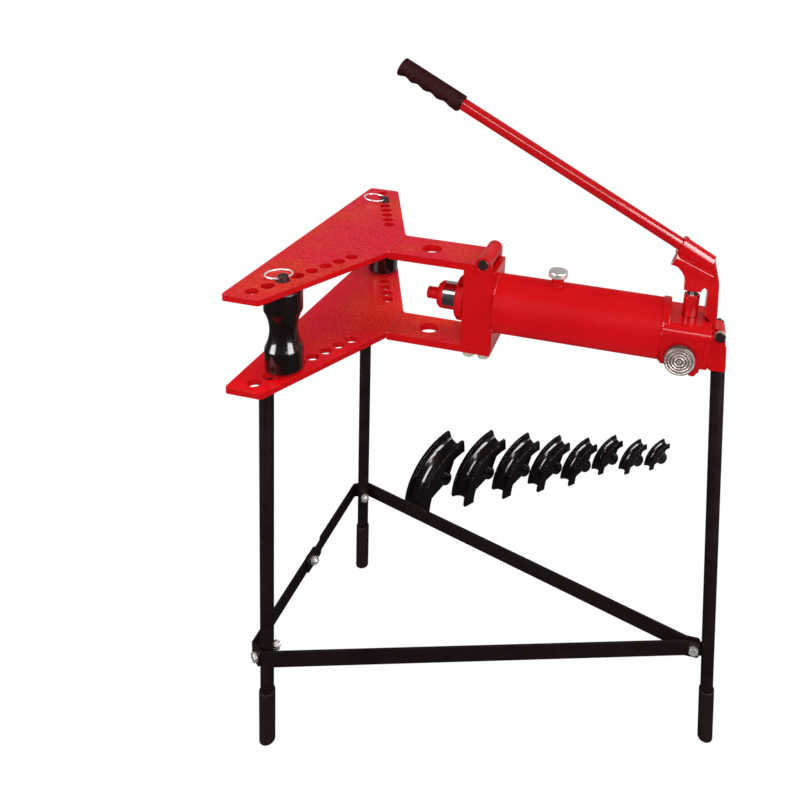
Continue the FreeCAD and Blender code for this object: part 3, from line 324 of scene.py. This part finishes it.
FAMILY_FINISH = {"leg": BLACK, "brace": BLACK, "roller": ROLLER, "die": DIE_BLACK}


# Pieces that stand in for CAD nodes or add to them

def new_piece(name, loops, mat):
    # A closed skin over loops of points, each loop going round in the same sense as seen along the run
    sides = len(loops[0])
    verts = [point for loop in loops for point in loop]
    faces = []
    for start in range(0, len(verts) - sides, sides):
        for k in range(sides):
            a, b = start + k, start + (k + 1) % sides
            faces.append((a, b, b + sides, a + sides))
    faces += [tuple(reversed(range(sides))), tuple(range(len(verts) - sides, len(verts)))]
    mesh = bpy.data.meshes.new(name)
    mesh.from_pydata(verts, [], faces)
    mesh.update()
    mesh.shade_smooth()
    mesh.materials.append(mat)
    obj = bpy.data.objects.new(name, mesh)
    scene.collection.objects.link(obj)
    return obj


def around(sides):
    return [2 * math.pi * k / sides for k in range(sides)]


# The handle's grip: finger grooves along its underside, a flared end and fine ribs round it
GRIP_START = Vector((0.02778, 0, 0.36478))
GRIP_ALONG = Vector((-0.891007, 0, 0.453991))
GRIP_DOWN = Vector((-0.453991, 0, -0.891007))
GRIP_ACROSS = GRIP_ALONG.cross(GRIP_DOWN)
GRIP_LENGTH = 0.127
GRIP_TOP = 0.0154
GRIP_END_ROUND = 0.003
GRIP_BORE = 0.0113
GRIP_BORE_DEPTH = 0.118
GRIP_GROOVE_FADE = 1.4
GRIP_RIB = 0.00024
GRIP_RIB_PITCH = 0.0031
GRIP_RIB_LEAST = 0.2
GRIP_SIDES = 48
GRIP_RINGS = 254
# The underside's distance from the axis, at distances from the grip's start
GRIP_UNDER = (
    (0, 0.0150), (0.006, 0.0174), (0.016, 0.0168), (0.030, 0.0141), (0.044, 0.0170), (0.058, 0.0139),
    (0.071, 0.0171), (0.086, 0.0144), (0.098, 0.0176), (0.110, 0.0144), (0.125, 0.0190), (0.127, 0.0190))


def underside(at):
    for (t0, r0), (t1, r1) in zip(GRIP_UNDER, GRIP_UNDER[1:]):
        if at <= t1:
            share = (1 - math.cos(math.pi * (at - t0) / (t1 - t0))) / 2
            return r0 + (r1 - r0) * share
    return GRIP_UNDER[-1][1]


def grip_radius(at, turn):
    # The grooves die away from the underside to the top; the ribs stand highest at the sides.
    groove_share = ((1 + math.cos(turn)) / 2) ** GRIP_GROOVE_FADE
    size = GRIP_TOP + (underside(at) - GRIP_TOP) * groove_share
    rib_share = GRIP_RIB_LEAST + (1 - GRIP_RIB_LEAST) * abs(math.sin(turn))
    size += GRIP_RIB * math.sin(at * 2 * math.pi / GRIP_RIB_PITCH) * rib_share
    edge = min(at, GRIP_LENGTH - at)
    if edge < GRIP_END_ROUND:
        size -= GRIP_END_ROUND - math.sqrt(GRIP_END_ROUND ** 2 - (GRIP_END_ROUND - edge) ** 2)
    return size


def grip_loop(at, radius):
    centre = GRIP_START + GRIP_ALONG * at
    return [centre + (GRIP_DOWN * math.cos(turn) + GRIP_ACROSS * math.sin(turn)) * radius(at, turn)
            for turn in around(GRIP_SIDES)]


def make_grip():
    loops = [grip_loop(at, lambda at, turn: GRIP_BORE) for at in (GRIP_BORE_DEPTH, 0.0)]
    loops += [grip_loop(i / GRIP_RINGS * GRIP_LENGTH, grip_radius) for i in range(GRIP_RINGS + 1)]
    obj = new_piece("finger_grip", loops, GRIP)
    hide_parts("handle_grip")
    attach(obj, "handle")


make_grip()

# The pump's spring is pressed between the barrel's floor and the plunger's collar
coil = bpy.data.objects.new("pump_spring", nodes["plunger_spring"].data.copy())
scene.collection.objects.link(coil)
coil.data.materials.clear()
coil.data.materials.append(STEEL)
coil.data.shade_smooth()
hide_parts("plunger_spring")
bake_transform(coil)


# Weld beads: where each neck meets its wing, and where the tank meets the block
BEAD_SIDES = 10
BEAD_RIPPLE = 0.16
BEAD_END = 0.35
NECK_X, NECK_HALF_WIDTH = -0.0866, 0.0464
NECK_TOP_Z, NECK_BOTTOM_Z = 0.0877, -0.0743
NECK_STEPS = 60
NECK_BEAD, NECK_RIPPLE = 0.0026, 1.9
TANK_X, TANK_RADIUS = 0.1132, 0.0551
TANK_STEPS = 90
TANK_HALF_ANGLE = 52
TANK_BEAD, TANK_RIPPLE = 0.0022, 2.1


def bead(name, path, radius, ripple):
    # A round bead, half sunk in the parts that it joins, which swells and shrinks by ripple radians a step
    loops = []
    for i, point in enumerate(path):
        run = (path[min(i + 1, len(path) - 1)] - path[max(i - 1, 0)]).normalized()
        one = run.orthogonal().normalized()
        two = run.cross(one)
        end = BEAD_END if i in (0, len(path) - 1) else 1
        size = radius * end * (1 + BEAD_RIPPLE * math.sin(i * ripple))
        loops.append([point + one * size * math.cos(turn) + two * size * math.sin(turn)
                      for turn in around(BEAD_SIDES)])
    obj = new_piece(name, loops, BEAD_LIT_RED)
    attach(obj, "stand")


for name, z in (("weld_upper_neck", NECK_TOP_Z), ("weld_lower_neck", NECK_BOTTOM_Z)):
    line = [Vector((NECK_X, NECK_HALF_WIDTH * (2 * i / NECK_STEPS - 1), z)) for i in range(NECK_STEPS + 1)]
    bead(name, line, NECK_BEAD, NECK_RIPPLE)
for name, middle in (("weld_tank_top", 90), ("weld_tank_bottom", 270)):
    turns = [math.radians(middle - TANK_HALF_ANGLE + 2 * TANK_HALF_ANGLE * i / TANK_STEPS)
             for i in range(TANK_STEPS + 1)]
    arc = [Vector((TANK_X, TANK_RADIUS * math.cos(turn), TANK_RADIUS * math.sin(turn))) for turn in turns]
    bead(name, arc, TANK_BEAD, TANK_RIPPLE)


# The CAD nodes' materials. Only edges sharper than this angle stay sharp.
SMOOTH_BELOW = math.radians(32)

for name, obj in nodes.items():
    family = name.split("_")[0]
    obj.data.materials.clear()
    obj.data.materials.append(FINISH.get(name) or FAMILY_FINISH.get(family, STEEL))
    bpy.context.view_layer.objects.active = obj
    obj.select_set(True)
    bpy.ops.object.shade_smooth_by_angle(angle=SMOOTH_BELOW)
    obj.select_set(False)


# Floor and backdrop: white to the camera, dim to surfaces that mirror them

FLOOR_Z = -0.884
FLOOR_SIZE = 14
FLOOR_MIDDLE = (0.2, 0.3)
FLOOR_GAP = 0.0005
WARM_WHITE = (1.0, 0.97, 0.95)


def ray_is(tree, kind):
    path = tree.nodes.get("ray") or tree.nodes.new("ShaderNodeLightPath")
    path.name = "ray"
    return path.outputs[kind]


def glow(tree, kind, colour, strength):
    # The kind is a surface's emission or the world's background.
    node = tree.nodes.new(kind)
    feed(tree, node.inputs["Color"], colour)
    feed(tree, node.inputs["Strength"], strength)
    return node.outputs[0]


def floor_material():
    mat, tree, bsdf = shader("pale_floor")
    bsdf.inputs["Base Color"].default_value = (0.85, 0.85, 0.85, 1)
    bsdf.inputs["Roughness"].default_value = 0.9
    spot = tree.nodes.new("ShaderNodeNewGeometry").outputs["Position"]
    under_bender = Vector((0.1, 0.1, FLOOR_Z))
    around_it = span(tree, calculate_vector(tree, "DISTANCE", spot, under_bender), 0.5, 1.5, 0.05, 0.04)
    behind_it = span(tree, part_of(tree, spot, "Y"), 0.6, 1.6, 0.0, 0.5)
    mirrored = glow(tree, "ShaderNodeEmission", WARM_WHITE, calculate(tree, "MAXIMUM", around_it, behind_it))
    seen = glow(tree, "ShaderNodeEmission", (1, 1, 1), 1.0)
    shiny = mix_shaders(tree, ray_is(tree, "Is Glossy Ray"), bsdf.outputs["BSDF"], mirrored)
    surface = mix_shaders(tree, ray_is(tree, "Is Camera Ray"), shiny, seen)
    feed(tree, tree.nodes["Material Output"].inputs["Surface"], surface)
    return mat


bpy.ops.mesh.primitive_plane_add(size=FLOOR_SIZE, location=(*FLOOR_MIDDLE, FLOOR_Z - FLOOR_GAP))
floor = bpy.context.object
floor.name = "floor"
floor.data.materials.append(floor_material())
floor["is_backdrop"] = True


def make_world():
    # Surfaces that mirror it see a bright backdrop behind the bender and a dim room elsewhere.
    world = bpy.data.worlds.new("studio")
    scene.world = world
    world.use_nodes = True
    tree = world.node_tree
    tree.nodes.remove(tree.nodes["Background"])
    heading = part_of(tree, tree.nodes.new("ShaderNodeTexCoord").outputs["Generated"], "Y")
    mirrored = glow(tree, "ShaderNodeBackground", WARM_WHITE, span(tree, heading, 0.35, 0.8, 0.05, 0.3))
    room = glow(tree, "ShaderNodeBackground", (0.95, 0.96, 1.0), 0.2)
    seen = glow(tree, "ShaderNodeBackground", (1, 1, 1), 1.0)
    shiny = mix_shaders(tree, ray_is(tree, "Is Glossy Ray"), room, mirrored)
    surface = mix_shaders(tree, ray_is(tree, "Is Camera Ray"), shiny, seen)
    feed(tree, tree.nodes["World Output"].inputs["Surface"], surface)


make_world()


# Lights: places and sizes in metres, powers in watts

def softbox(name, place, target, size, power):
    data = bpy.data.lights.new(name, "AREA")
    data.shape = "RECTANGLE"
    data.size, data.size_y = size
    data.energy = power
    lamp = bpy.data.objects.new(name, data)
    lamp.location = place
    aim = Vector(target) - Vector(place)
    lamp.rotation_euler = aim.to_track_quat("-Z", "Y").to_euler()
    lamp.visible_camera = False
    scene.collection.objects.link(lamp)
    return lamp


# A strip that lies along the handle, so that its reflection runs down the handle and the sockets
strip_place = Vector((0.86, -1.82, 1.18))
strip_target = Vector((0.27, 0, 0.24))
strip = softbox("strip", strip_place, strip_target, (1.5, 0.45), 18)
along = Vector((-0.891, 0, 0.454))
inward = (strip_target - strip_place).normalized()
across = along.cross(inward).normalized()
strip.matrix_world = Matrix.Translation(strip_place) @ Matrix((along, -across, -inward)).transposed().to_4x4()

# Lights that show only as reflections, in the rollers and the ram
for name, place, target, size, power in (
        ("window_left", (-1.74, -1.86, 0.82), (-0.2, -0.22, 0), (1.4, 2.1), 140),
        ("window_right", (1.91, -1.02, 0.82), (-0.2, -0.22, 0), (1.4, 2.1), 140),
        ("over_ram", (-0.45, -1.1, 1.1), (0, 0, 0), (0.9, 0.5), 4)):
    softbox(name, place, target, size, power).visible_diffuse = False

# The one that lights the pump's end and shows in it
softbox("rear", (2.6, 0.7, 1.3), (0.3, 0, 0), (1.2, 1.2), 26)

# Lights that don't show in reflections
for name, place, target, size, power in (
        ("top", (0.1, 0.3, 2.9), (0.1, 0, 0), (3.0, 2.4), 42),
        ("fill", (-0.9, -3.0, 1.0), (0.1, 0, -0.2), (3.0, 2.0), 27),
        ("low_left", (-2.4, -0.9, 0.45), (0, 0, -0.1), (1.6, 1.0), 14)):
    softbox(name, place, target, size, power).visible_glossy = False


# The camera, solved from the photograph. Its axis doesn't meet the middle of the frame, hence the shift.

FRAME_PIXELS = 800
FOCAL_PIXELS = 762.63
AXIS_PIXELS = (522.373, 159.466)
SENSOR_WIDTH = 36
CAMERA_PLACE = Vector((0.3831, -1.2635, 0.6253))
azimuth = math.radians(10.895)
pitch = math.radians(15.112)
roll = math.radians(3.916)

ahead = Vector((-math.sin(azimuth) * math.cos(pitch), math.cos(azimuth) * math.cos(pitch), -math.sin(pitch)))
right = Vector((math.cos(azimuth), math.sin(azimuth), 0))
up = right.cross(ahead)
side = right * math.cos(roll) + up * math.sin(roll)
top = up * math.cos(roll) - right * math.sin(roll)

camera_data = bpy.data.cameras.new("camera")
camera_data.sensor_width = SENSOR_WIDTH
camera_data.lens = FOCAL_PIXELS / FRAME_PIXELS * SENSOR_WIDTH
camera_data.shift_x = (FRAME_PIXELS / 2 - AXIS_PIXELS[0]) / FRAME_PIXELS
camera_data.shift_y = (AXIS_PIXELS[1] - FRAME_PIXELS / 2) / FRAME_PIXELS
camera = bpy.data.objects.new("camera", camera_data)
camera.matrix_world = Matrix.Translation(CAMERA_PLACE) @ Matrix((side, top, -ahead)).transposed().to_4x4()
scene.collection.objects.link(camera)
scene.camera = camera
scene.render.resolution_x = FRAME_PIXELS
scene.render.resolution_y = FRAME_PIXELS
scene.view_settings.view_transform = "Standard"

write_size("all")
